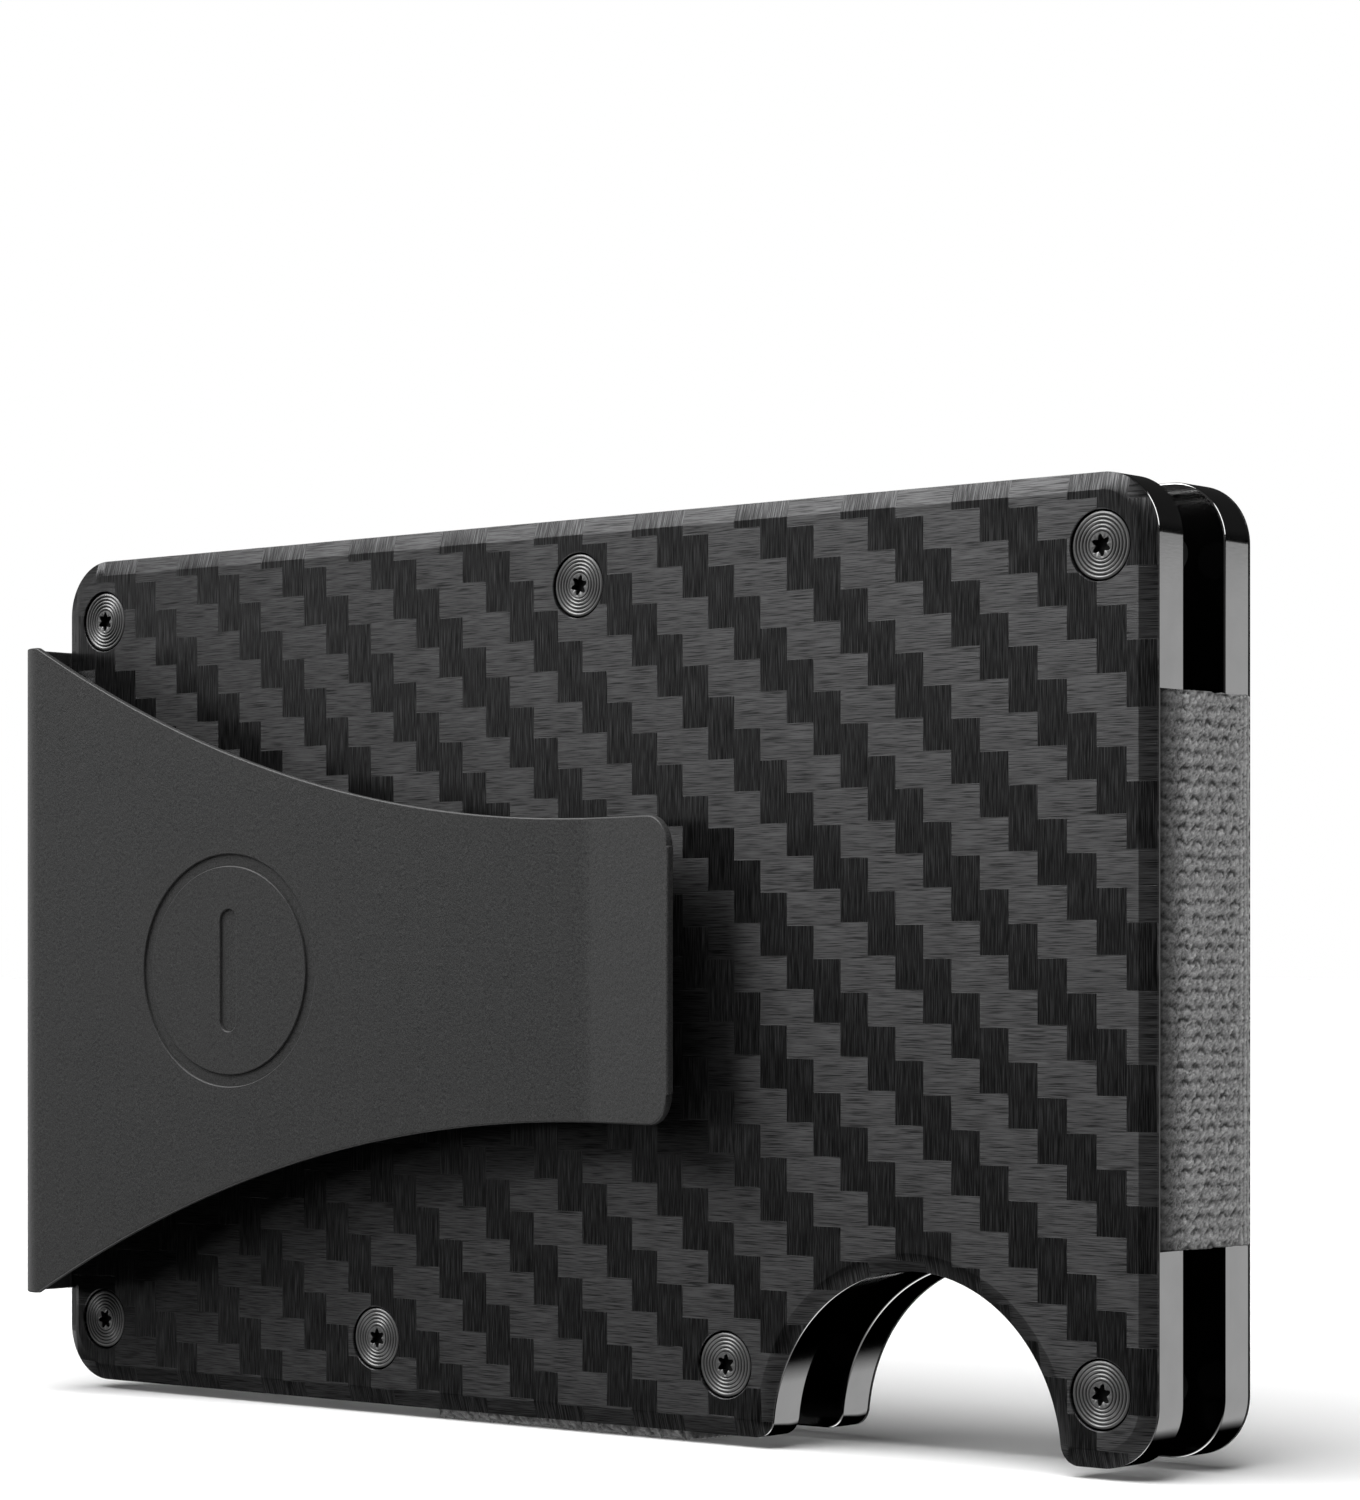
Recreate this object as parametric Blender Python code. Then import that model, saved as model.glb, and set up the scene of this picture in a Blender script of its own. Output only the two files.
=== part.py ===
"""A minimalist wallet that stands on its long bottom edge, with the money clip in front.

Two halves, each a thin carbon plate screwed to an inner plate, hold cards between them. An elastic
band runs round both short sides and an elastic strap runs under the bottom edge, and they pull the
halves together. A bent steel money clip is held under the front carbon plate by two of its screws.

Places are worked out in a design frame: X to the right from the plates' centre, Y to the back from
the front face, Z up from the plates' bottom edge. The wallet empty moves that frame, so that the
world origin is at the bottom centre of the whole. Each half has an empty whose Y runs inwards from
that half's outer face, so the back half's empty is turned round by half a turn.
"""

import math

import bmesh
import bpy
from mathutils import Vector

MM = 0.001

# Plates
LENGTH = 86 * MM
HEIGHT = 54 * MM
CORNER_R = 3.5 * MM
OUTER_THICK = 0.6 * MM
RIM_WIDE = 1.0 * MM
RIM_DEEP = 0.4 * MM
HALF_THICK = 2.9 * MM  # outer plate, seam and inner plate
CARD_GAP = 4.1 * MM

# Thumb notch in the bottom edge
NOTCH_X = 26.65 * MM
NOTCH_R = 10.1 * MM
NOTCH_CORNER_R = 1.2 * MM

# Screws: centres as seen from the front
CLIP_SCREWS = [(-39.5 * MM, 50 * MM), (-39.5 * MM, 4 * MM)]
OTHER_SCREWS = [
    (39.5 * MM, 50 * MM),
    (39.5 * MM, 4 * MM),
    (2 * MM, 50 * MM),
    (-14.7 * MM, 4.1 * MM),
    (13.3 * MM, 4.1 * MM),
]
HEAD_R = 1.87 * MM
HEAD_SUNK = 0.08 * MM
HEAD_RIM = 0.4 * MM  # height of the head's straight side, above its cone
SHANK_R = 1.0 * MM
SCREW_END = 2.75 * MM
DRIVE_R = 0.5 * MM
DRIVE_LOBE = 0.12 * MM
DRIVE_DEEP = 0.5 * MM

# Elastic
STRAP_THICK = 0.8 * MM
STRAP_BEND_R = 0.12 * MM  # inside radius round a plate's edge
BAND_WIDE = 30 * MM
LEG_WIDE = 20 * MM
LEG_PROUD = 0.65 * MM  # how far the bottom strap stands below the plates
LEG_TOP = 10.9 * MM
HEAD_WIDE = 25.4 * MM  # the bottom strap's ends widen to this, which locks them in their pockets
SHOULDER_LOW = 7.0 * MM
SHOULDER_HIGH = 8.2 * MM

# Money clip; every bend radius and place is at the middle of the sheet
CLIP_THICK = 0.5 * MM
CLIP_TALL = 42.3 * MM
NECK_TALL = 18 * MM
TAPER_POWER = 2.05
WEB_X = -43.55 * MM
TONGUE_END_X = -30 * MM
TONGUE_BEND_R = 0.65 * MM
ARM_CORNER = Vector((WEB_X, -3.9 * MM))  # where the web's line and the arm's line meet
ARM_BEND_R = 1.95 * MM
CONTACT = Vector((4.5 * MM, -1.75 * MM))  # where the arm bends out into the lip
CONTACT_BEND_R = 5 * MM
LIP_END = Vector((11.6 * MM, -2.9 * MM))
LIP_CORNER_R = 1.8 * MM
HINGE_GAP = 0.25 * MM
EAR_R = 2.8 * MM  # the tongue's ears under the clip's two screws
EAR_SLOPE = 0.1 * MM  # how far an ear's straight sides lean

# Clearances
SEAM = 0.05 * MM  # between flat faces that lie on each other
PLAY = 0.15 * MM  # round the clip's tongue
HOLE_PLAY = 0.1 * MM
STRAP_PLAY = 0.3 * MM  # between a strap's edge and the side of its channel
PAST = 0.5 * MM  # how far a cutter runs past the face that it opens

# Depths and places that follow
TONGUE_Y = OUTER_THICK + SEAM + CLIP_THICK / 2
STRAP_Y = OUTER_THICK + SEAM + STRAP_THICK / 2
TONGUE_FLOOR = OUTER_THICK + SEAM + CLIP_THICK + SEAM
CHANNEL_FLOOR = OUTER_THICK + SEAM + STRAP_THICK + SEAM
LOW_STRAP_Y = TONGUE_FLOOR + STRAP_THICK / 2  # the band where it lies under the tongue
LOW_CHANNEL_FLOOR = TONGUE_FLOOR + STRAP_THICK + SEAM
LOW_CHANNEL_END_X = TONGUE_END_X + 4 * MM
TOTAL_THICK = 2 * HALF_THICK + CARD_GAP
MID_Z = HEIGHT / 2


# Paths and outlines in a plane


def arc(centre, radius, start, end, steps):
    """Points along an arc, both ends included; angles in degrees."""
    angles = [math.radians(start + (end - start) * i / steps) for i in range(steps + 1)]
    return [Vector((centre[0] + radius * math.cos(a), centre[1] + radius * math.sin(a))) for a in angles]


def circle(radius, steps):
    return arc((0, 0), radius, 0, 360, steps)[:-1]


def bend_centre(before, corner, after, radius):
    """The centre of the arc that rounds a corner and meets both of its sides."""
    sides = (before - corner).normalized(), (after - corner).normalized()
    half = sides[0].angle(sides[1]) / 2
    return corner + (sides[0] + sides[1]).normalized() * (radius / math.sin(half))


def bend(before, corner, after, radius, steps=8):
    """The points of that arc, from the side before the corner to the side after it."""
    centre = bend_centre(before, corner, after, radius)
    into, out = corner - before, after - corner
    turn = math.copysign(into.angle(out), into.x * out.y - into.y * out.x)
    first = Vector((into.y, -into.x)).normalized() * math.copysign(radius, turn)
    start = math.atan2(first.y, first.x)
    return arc(centre, radius, math.degrees(start), math.degrees(start + turn), steps)


def divided(path, longest):
    """The path with its long straight runs cut into equal shorter ones."""
    result = [path[0]]
    for a, b in zip(path, path[1:]):
        parts = math.ceil((b - a).length / longest)
        result += [a.lerp(b, i / parts) for i in range(1, parts + 1)]
    return result


def beside(path, distance, closed=False):
    """The path moved to the right of its direction, with its corners kept."""
    runs = [b - a for a, b in zip(path, path[1:] + path[:1])]
    if not closed:
        runs[-1] = runs[-2]
    moved = []
    for i, point in enumerate(path):
        before = runs[i - 1] if closed or i > 0 else runs[0]
        sides = [Vector((run.y, -run.x)).normalized() for run in (before, runs[i])]
        middle = (sides[0] + sides[1]).normalized()
        moved.append(point + middle * (distance / middle.dot(sides[0])))
    return moved


def plate_outline(notch_x, inset=0.0):
    """The plate's outline in X and Z, anticlockwise, moved inwards by inset."""
    corner_x, corner_r = LENGTH / 2 - CORNER_R, CORNER_R - inset
    reach = NOTCH_R + NOTCH_CORNER_R
    lip_x = math.sqrt(reach**2 - NOTCH_CORNER_R**2)
    meet = math.degrees(math.asin(NOTCH_CORNER_R / reach))
    lip_r = NOTCH_CORNER_R - inset
    points = arc((-corner_x, CORNER_R), corner_r, 180, 270, 6)
    points += arc((notch_x - lip_x, NOTCH_CORNER_R), lip_r, -90, -meet, 4)
    points += arc((notch_x, 0), NOTCH_R + inset, 180 - meet, meet, 24)[1:-1]
    points += arc((notch_x + lip_x, NOTCH_CORNER_R), lip_r, 180 + meet, 270, 4)
    points += arc((corner_x, CORNER_R), corner_r, 270, 360, 6)
    points += arc((corner_x, HEIGHT - CORNER_R), corner_r, 0, 90, 6)
    points += arc((-corner_x, HEIGHT - CORNER_R), corner_r, 90, 180, 6)
    return points


# Meshes


def loft(name, rings, closed=False):
    """A solid through rings of equally many points, capped at both ends unless it closes on itself."""
    shape = bmesh.new()
    loops = [[shape.verts.new(point) for point in ring] for ring in rings]
    pairs = list(zip(loops, loops[1:]))
    if closed:
        pairs.append((loops[-1], loops[0]))
    else:
        shape.faces.new(loops[0])
        shape.faces.new(loops[-1])
    for low, high in pairs:
        for i in range(len(low)):
            shape.faces.new((low[i - 1], low[i], high[i], high[i - 1]))
    bmesh.ops.recalc_face_normals(shape, faces=shape.faces)
    mesh = bpy.data.meshes.new(name)
    shape.to_mesh(mesh)
    shape.free()
    mesh.shade_smooth()
    mesh.set_sharp_from_angle(angle=math.radians(30))
    return mesh


def placed(point, axis, at):
    """A point of a plane, put at a place along the axis that the plane is square to."""
    u, v = point
    return Vector({"X": (at, u, v), "Y": (u, at, v), "Z": (u, v, at)}[axis])


def stacked(name, sections, axis):
    """A solid through outlines, each given with its place along the axis."""
    return loft(name, [[placed(p, axis, at) for p in outline] for at, outline in sections])


def prism(name, outline, axis, low, high):
    return stacked(name, [(low, outline), (high, outline)], axis)


def turned(name, profile, steps=24):
    """A solid turned about the Y axis; the profile is a list of depth and radius."""
    return stacked(name, [(y, circle(r, steps)) for y, r in profile], "Y")


def strip(name, path, thick, half_widths, axis, middle=0.0, closed=False):
    """A sheet that follows a path and lies square to it along an axis."""
    rings = []
    sides = zip(beside(path, thick / 2, closed), beside(path, -thick / 2, closed), half_widths)
    for right, left, half in sides:
        low, high = middle - half, middle + half
        corners = ((right, low), (right, high), (left, high), (left, low))
        rings.append([placed(point, axis, at) for point, at in corners])
    return loft(name, rings, closed)


# Objects


def material(name, colour, roughness, metallic=0.0):
    made = bpy.data.materials.new(name)
    made.use_nodes = True
    shader = made.node_tree.nodes["Principled BSDF"]
    shader.inputs["Base Color"].default_value = (*colour, 1)
    shader.inputs["Roughness"].default_value = roughness
    shader.inputs["Metallic"].default_value = metallic
    return made


def place(name, data, parent, location=(0, 0, 0)):
    made = bpy.data.objects.new(name, data)
    bpy.context.scene.collection.objects.link(made)
    made.parent = parent
    made.location = location
    return made


def piece(mesh, parent, look, location=(0, 0, 0), name=None):
    if not mesh.materials:
        mesh.materials.append(look)
    return place(name or mesh.name, mesh, parent, location)


def cut(target, mesh, location=(0, 0, 0)):
    """Cuts a mesh out of the target; the mesh stays as a hidden cutter."""
    cutter = place(mesh.name, mesh, target.parent, location)
    cutter.hide_render = True
    cutter.display_type = "WIRE"
    modifier = target.modifiers.new(cutter.name, "BOOLEAN")
    modifier.operation = "DIFFERENCE"
    modifier.object = cutter


# Screws


def screw_mesh(steps=24):
    """A countersunk screw along Y with a six-lobed drive; the outer face that it sits in is at Y 0."""
    lobes = []
    for i in range(steps):
        turn = 2 * math.pi * i / steps
        radius = DRIVE_R + DRIVE_LOBE * math.cos(6 * turn)
        lobes.append(Vector((radius * math.cos(turn), radius * math.sin(turn))))
    rim = HEAD_SUNK + HEAD_RIM
    neck = rim + HEAD_R - SHANK_R
    profile = [(HEAD_SUNK, HEAD_R), (rim, HEAD_R), (neck, SHANK_R), (SCREW_END, SHANK_R)]
    sections = [(HEAD_SUNK + DRIVE_DEEP, lobes), (HEAD_SUNK, lobes)]
    sections += [(y, circle(r, steps)) for y, r in profile]
    return stacked("screw", sections, "Y")


def screw_hole(name):
    """The space for a screw: a straight hole for its head, a cone and a hole for its shank."""
    head_r, shank_r = HEAD_R + HOLE_PLAY, SHANK_R + HOLE_PLAY
    rim = HEAD_SUNK + HEAD_RIM + HOLE_PLAY
    profile = [(-PAST, head_r), (rim, head_r), (rim + head_r - shank_r, shank_r)]
    return turned(name, profile + [(HALF_THICK + PAST, shank_r)])


# Halves


def band_channel(side, under_tongue):
    """The band's channel along an inner plate and round both of its ends."""
    past_x, past_y = LENGTH / 2 + PAST, HALF_THICK + PAST
    end_x = LENGTH / 2 - STRAP_THICK - SEAM
    outline = [(-past_x, 0), (past_x, 0), (past_x, past_y), (end_x, past_y), (end_x, CHANNEL_FLOOR)]
    if under_tongue:
        outline += [(LOW_CHANNEL_END_X, CHANNEL_FLOOR), (LOW_CHANNEL_END_X, LOW_CHANNEL_FLOOR)]
        outline.append((-end_x, LOW_CHANNEL_FLOOR))
    else:
        outline.append((-end_x, CHANNEL_FLOOR))
    outline += [(-end_x, past_y), (-past_x, past_y)]
    half = BAND_WIDE / 2 + STRAP_PLAY
    return prism(f"{side}_band_channel", outline, "Z", MID_Z - half, MID_Z + half)


def leg_channel(side):
    """The bottom strap's channel up the inner plate, and its way round the bottom edge."""
    past_y, floor_z = HALF_THICK + PAST, STRAP_THICK - LEG_PROUD + SEAM
    outline = [(0, -PAST), (past_y, -PAST), (past_y, floor_z), (CHANNEL_FLOOR, floor_z)]
    outline += [(CHANNEL_FLOOR, LEG_TOP), (0, LEG_TOP)]
    half = LEG_WIDE / 2 + STRAP_PLAY
    return prism(f"{side}_leg_channel", outline, "X", -half, half)


def head_pocket(side):
    """The wider pocket for the bottom strap's end, open at the top into the band's channel."""
    leg_x, head_x = LEG_WIDE / 2, HEAD_WIDE / 2 + STRAP_PLAY
    top = MID_Z - BAND_WIDE / 2
    right = [(leg_x, SHOULDER_LOW - STRAP_PLAY), (head_x, SHOULDER_HIGH - STRAP_PLAY), (head_x, top)]
    outline = right + [(-x, z) for x, z in reversed(right)]
    return prism(f"{side}_head_pocket", outline, "Y", 0, CHANNEL_FLOOR)


def add_half(side, half, sign, looks, screw):
    """One outer plate, its inner plate and their screws; sign is -1 on the half that is turned round."""
    carbon, inner, steel = looks
    flat = plate_outline(sign * NOTCH_X, inset=RIM_WIDE)
    full = plate_outline(sign * NOTCH_X)
    sections = [(0, flat), (RIM_DEEP, full), (OUTER_THICK, full)]
    outer_plate = piece(stacked(f"{side}_outer_plate", sections, "Y"), half, carbon)
    front = OUTER_THICK + SEAM
    inner_plate = piece(prism(f"{side}_inner_plate", full, "Y", front, HALF_THICK), half, inner)

    cut(inner_plate, band_channel(side, under_tongue=side == "front"))
    cut(inner_plate, leg_channel(side))
    cut(inner_plate, head_pocket(side))
    if side == "front":
        cut(inner_plate, tongue_recess())

    for number, (x, z) in enumerate(CLIP_SCREWS + OTHER_SCREWS, 1):
        at = (sign * x, 0, z)
        cut(outer_plate, screw_hole(f"{side}_outer_hole_{number}"), at)
        cut(inner_plate, screw_hole(f"{side}_inner_hole_{number}"), at)
        piece(screw, half, steel, at, f"{side}_screw_{number}")


def tongue_recess():
    """The shallow recess in which the clip's tongue and its two ears lie."""
    upper = tongue_sections(PLAY) + [(-LENGTH / 2 - PAST, CLIP_TALL / 2 + PLAY)]
    outline = [(x, MID_Z + half) for x, half in upper]
    outline += [(x, MID_Z - half) for x, half in reversed(upper)]
    return prism("tongue_recess", outline, "Y", 0, TONGUE_FLOOR)


# Straps


def add_band(half, look):
    """The closed band: between outer and inner plate on each half, and round both short sides."""
    side_x = LENGTH / 2 - STRAP_THICK / 2
    back_y = TOTAL_THICK - STRAP_Y
    edge_r, ramp_r = STRAP_BEND_R + STRAP_THICK / 2, 2 * MM
    bends = [
        ((side_x, STRAP_Y), edge_r),
        ((side_x, back_y), edge_r),
        ((-side_x, back_y), edge_r),
        ((-side_x, LOW_STRAP_Y), edge_r),
        ((TONGUE_END_X + 0.5 * MM, LOW_STRAP_Y), ramp_r),
        ((LOW_CHANNEL_END_X - 0.5 * MM, STRAP_Y), ramp_r),
    ]
    corners = [Vector(corner) for corner, _ in bends]
    path = []
    for i, (_, radius) in enumerate(bends):
        path += bend(corners[i - 1], corners[i], corners[(i + 1) % len(corners)], radius, steps=5)
    widths = [BAND_WIDE / 2] * len(path)
    piece(strip("elastic_band", path, STRAP_THICK, widths, "Z", MID_Z, closed=True), half, look)


def add_bottom_strap(half, look):
    """The strap under the bottom edge, up to a widened end in each inner plate's pocket."""
    back_y, bottom_z = TOTAL_THICK - STRAP_Y, STRAP_THICK / 2 - LEG_PROUD
    front, back = Vector((STRAP_Y, bottom_z)), Vector((back_y, bottom_z))
    levels = [LEG_TOP, SHOULDER_HIGH, SHOULDER_LOW]
    up = Vector((0, LEG_TOP))
    radius = STRAP_BEND_R + STRAP_THICK / 2
    path = [Vector((STRAP_Y, z)) for z in levels]
    path += bend(front + up, front, back, radius, steps=5)
    path += bend(front, back, back + up, radius, steps=5)
    path += [Vector((back_y, z)) for z in reversed(levels)]
    widths = [(HEAD_WIDE if point.y >= SHOULDER_HIGH else LEG_WIDE) / 2 for point in path]
    piece(strip("elastic_bottom", path, STRAP_THICK, widths, "X"), half, look)


# Money clip


def hinge_point():
    """The centre of the bend between web and arm, which is where the clip flexes."""
    return bend_centre(Vector((WEB_X, 0)), ARM_CORNER, CONTACT, ARM_BEND_R)


def tongue_sections(play=0.0):
    """Places along the tongue from its end, each with half the height there: two ears stand out."""
    ear_x, ear_z = CLIP_SCREWS[0][0], CLIP_SCREWS[0][1] - MID_Z
    body, ear = CLIP_TALL / 2 + play, EAR_R + play
    foot = ear + EAR_SLOPE
    return (
        [(TONGUE_END_X + play, body), (ear_x + foot, body)]
        + [(point.x, point.y) for point in arc((ear_x, ear_z), ear, 0, 180, 13)]
        + [(ear_x - foot, body)]
    )


def arm_sections():
    """Points along the arm and lip, each with half the height there."""
    towards_tip = (LIP_END - CONTACT).normalized()
    corner_start = LIP_END - towards_tip * LIP_CORNER_R
    path = bend(Vector((WEB_X, 0)), ARM_CORNER, CONTACT, ARM_BEND_R)
    path += bend(ARM_CORNER, CONTACT, LIP_END, CONTACT_BEND_R, steps=6) + [corner_start]
    root, neck = CLIP_TALL / 2, NECK_TALL / 2
    root_x = hinge_point().x
    sections = []
    for point in divided(path, 3 * MM):
        share = min(1, max(0, (CONTACT.x - point.x) / (CONTACT.x - root_x)))
        sections.append((point, neck + (root - neck) * share**TAPER_POWER))
    steps = 6
    for step in range(1, steps + 1):
        turn = math.pi / 2 * step / steps
        point = corner_start + towards_tip * (LIP_CORNER_R * math.sin(turn))
        sections.append((point, neck - LIP_CORNER_R * (1 - math.cos(turn))))
    return sections


def add_clip_base(half, look):
    """The tongue with its ears under the outer plate, and the web up to the bend."""
    tongue = [Vector((x, TONGUE_Y)) for x, _ in tongue_sections()]
    web_end = Vector((WEB_X, hinge_point().y + HINGE_GAP))
    web = bend(tongue[-1], Vector((WEB_X, TONGUE_Y)), web_end, TONGUE_BEND_R) + [web_end]
    heights = [half for _, half in tongue_sections()] + [CLIP_TALL / 2] * len(web)
    sheet = strip("clip_base", tongue + web, CLIP_THICK, heights, "Z", MID_Z)
    clip_base = piece(sheet, half, look)
    for number, (x, z) in enumerate(CLIP_SCREWS, 1):
        cut(clip_base, screw_hole(f"clip_hole_{number}"), (x, 0, z))


def add_clip_arm(half, look):
    """The arm and its lip, on an empty at the bend's centre."""
    centre = hinge_point()
    hinge = place("clip_hinge", None, half, (centre.x, centre.y, MID_Z))
    points, heights = zip(*arm_sections())
    path = [point - centre for point in points]
    piece(strip("clip_arm", path, CLIP_THICK, heights, "Z"), hinge, look)


def main():
    for old in list(bpy.data.objects):
        bpy.data.objects.remove(old, do_unlink=True)
    left_x = WEB_X - CLIP_THICK / 2
    arm = [point for point, _ in arm_sections()]
    front_y = min(point.y for point in beside(arm, -CLIP_THICK / 2) + beside(arm, CLIP_THICK / 2))
    middle = Vector(((left_x + LENGTH / 2) / 2, (front_y + TOTAL_THICK) / 2, -LEG_PROUD))
    wallet = place("wallet", None, None, -middle)
    front = place("front_half", None, wallet)
    back = place("back_half", None, wallet, (0, TOTAL_THICK, 0))
    back.rotation_euler.z = math.pi

    carbon = material("carbon_plate", (0.035, 0.036, 0.038), 0.38)
    inner = material("black_inner_plate", (0.012, 0.012, 0.013), 0.18)
    steel = material("screw_steel", (0.09, 0.09, 0.095), 0.35, 0.9)
    elastic = material("grey_elastic", (0.12, 0.12, 0.125), 0.9)
    coating = material("clip_coating", (0.035, 0.035, 0.036), 0.55, 0.3)
    looks, screw = (carbon, inner, steel), screw_mesh()

    add_half("front", front, 1, looks, screw)
    add_half("back", back, -1, looks, screw)
    add_band(front, elastic)
    add_bottom_strap(front, elastic)
    add_clip_base(front, coating)
    add_clip_arm(front, coating)


main()
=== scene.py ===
"""The looks of a minimalist wallet with a money clip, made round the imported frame.

Shapes are worked out in design millimetres: X to the right from the plates' centre, Y to the back
from the front face, Z up from the plates' bottom edge. to_frame() puts them in the row frame, in
metres. The back half is the front half turned round by half a turn.
"""

import math

import bmesh
import bpy
import numpy as np
from mathutils import Matrix, Vector


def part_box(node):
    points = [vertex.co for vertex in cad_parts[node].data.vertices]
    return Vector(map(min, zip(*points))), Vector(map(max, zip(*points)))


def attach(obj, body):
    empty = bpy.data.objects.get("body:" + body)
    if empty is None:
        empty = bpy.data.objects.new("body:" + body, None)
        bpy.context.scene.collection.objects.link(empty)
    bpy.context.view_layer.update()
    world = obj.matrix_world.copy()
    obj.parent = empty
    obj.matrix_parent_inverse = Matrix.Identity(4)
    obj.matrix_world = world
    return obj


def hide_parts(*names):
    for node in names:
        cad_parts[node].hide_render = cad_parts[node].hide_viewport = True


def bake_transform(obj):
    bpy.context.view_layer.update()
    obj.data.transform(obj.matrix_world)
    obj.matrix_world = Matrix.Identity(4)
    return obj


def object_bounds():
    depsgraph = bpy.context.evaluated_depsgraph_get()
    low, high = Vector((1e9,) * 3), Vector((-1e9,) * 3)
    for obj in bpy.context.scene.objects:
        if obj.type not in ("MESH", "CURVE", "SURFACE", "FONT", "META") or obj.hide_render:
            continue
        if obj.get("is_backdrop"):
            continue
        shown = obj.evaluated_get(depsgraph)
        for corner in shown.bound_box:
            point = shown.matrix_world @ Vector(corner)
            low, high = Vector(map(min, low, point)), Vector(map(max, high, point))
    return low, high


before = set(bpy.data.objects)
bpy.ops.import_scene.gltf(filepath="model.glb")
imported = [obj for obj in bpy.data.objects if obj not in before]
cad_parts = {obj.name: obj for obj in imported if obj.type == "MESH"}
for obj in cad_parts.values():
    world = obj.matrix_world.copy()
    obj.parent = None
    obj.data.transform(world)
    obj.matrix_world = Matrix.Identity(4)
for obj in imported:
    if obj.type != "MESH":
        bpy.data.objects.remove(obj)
CAD_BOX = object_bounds()

MM_PER_M = 1000


def row_box_mm(node):
    """A CAD node's lowest and highest corner in the row frame, in millimetres."""
    return [np.array(corner) * MM_PER_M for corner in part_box(node)]


def box_mm(node):
    """A CAD node's lowest and highest corner, in design millimetres."""
    return [corner - ORIGIN for corner in row_box_mm(node)]


# The frame
PLATE_LOW, PLATE_HIGH = row_box_mm("front_outer_plate")
ORIGIN = np.array([(PLATE_LOW[0] + PLATE_HIGH[0]) / 2, PLATE_LOW[1], PLATE_LOW[2]])
LENGTH, _, HEIGHT = PLATE_HIGH - PLATE_LOW
INNER_FRONT, HALF_THICK = (corner[1] for corner in box_mm("front_inner_plate"))
TOTAL_THICK = box_mm("back_outer_plate")[1][1]
MID_Z = HEIGHT / 2
BAND_LOW, BAND_HIGH = (corner[2] for corner in box_mm("elastic_band"))
BOTTOM_LOW, BOTTOM_HIGH = box_mm("elastic_bottom")
CLIP_LOW, CLIP_HIGH = box_mm("clip_base")
ARM_LOW, ARM_HIGH = box_mm("clip_arm")

# Plates, in millimetres
CORNER_R = 3.5
CORNER_STEPS, LIP_STEPS, NOTCH_STEPS = 24, 12, 96
NOTCH_X, NOTCH_R, NOTCH_CORNER_R = 26.65, 10.1, 1.2
# The outer plate's rim: how far each level is inset from the outline, and its depth
RIM = [(1.06, 0), (0.97, 0.012), (0.03, 0.30), (0, 0.325), (0, 0.42), (0.02, 0.44)]
JOIN = 0.44  # depth of the joint between the outer and the inner plate
LIP = 0.11  # what is left of the inner plate in front of the band
INNER_ROUND = 0.12  # radius along the inner plates' edges

# Screws
HEAD_SUNK, HEAD_RIM, SHANK_R, SCREW_END = 0.08, 0.4, 1.0, 2.75
HEAD_R, HOLE_PLAY, HOLE_CHAMFER = 1.87, 0.1, 0.05
DISC_R = 0.76  # the smooth middle of a head, inside its turned rings
RINGS, RING_STEPS, RING_DEEP = 5, 8, 0.07
DRIVE_R, DRIVE_LOBE, DRIVE_DEEP = 0.5, 0.12, 0.45

# Elastic
STRAP_THICK, STRAP_BEND_R = 0.8, 0.12
LEG_WIDE, SHOULDER_LOW, SHOULDER_HIGH = 20, 7.0, 8.2
STITCH, ROW = 1.18, 0.81  # the knit's pitch along a strap and across it
PIT_DEEP = 0.2
FINE, COARSE = 0.13, 3  # steps along a strap where it is seen and where it is hidden
FACE_STEP, INNER_STEPS = 0.1, 60  # across a strap, on its outer and its inner face
GRAIN, FUZZ = 0.15, 0.035  # unevenness of the knit and of a strap's edges
BAND_HAIR, BOTTOM_HAIR = 0.02, 0.2  # how far stray fibres stand out
BULGE = 0.7  # how far the band stands out of the plates' short sides
SNUG = 0.04  # how much wider than its solid the band fills its channel, on each side
UNEVEN = np.random.default_rng(5).uniform(-1, 1, (4, 997))  # four draws for each stitch

# Money clip; bend radii and places are at the middle of the sheet
CLIP_THICK = 0.5
NECK_TALL, TAPER_POWER = 18, 2.05
WEB_X = CLIP_LOW[0] + CLIP_THICK / 2
TONGUE_BEND_R, ARM_BEND_R, CONTACT_BEND_R = 0.65, 1.95, 5
ARM_CORNER, CONTACT, LIP_END = (WEB_X, -3.9), (4.5, -1.75), (ARM_HIGH[0], -2.9)
LIP_CORNER_R, SHEET_ROUND = 1.8, 0.11
CLIP_TALL = ARM_HIGH[2] - ARM_LOW[2]
EAR_R, EAR_SLOPE = 2.8, 0.1
EMBLEM_AT, EMBLEM_R = 19.1, 7.4  # centre along the arm from its corner, and outer radius
BAR_SIZE = (3.2, 0.72)  # the emblem's bar: half its straight length and half its width
CLIP_SCREWS = (1, 2)  # the two that hold it
GROOVE_WIDE, GROOVE_DEEP = 0.86, 0.17

# Clearances
SEAM, PLAY, STRAP_PLAY, BAND_PLAY = 0.05, 0.15, 0.3, 0.16
PAST = 0.5  # how far a cutter reaches past what it cuts
WELD = 0.004  # points nearer to each other than this are joined

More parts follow.
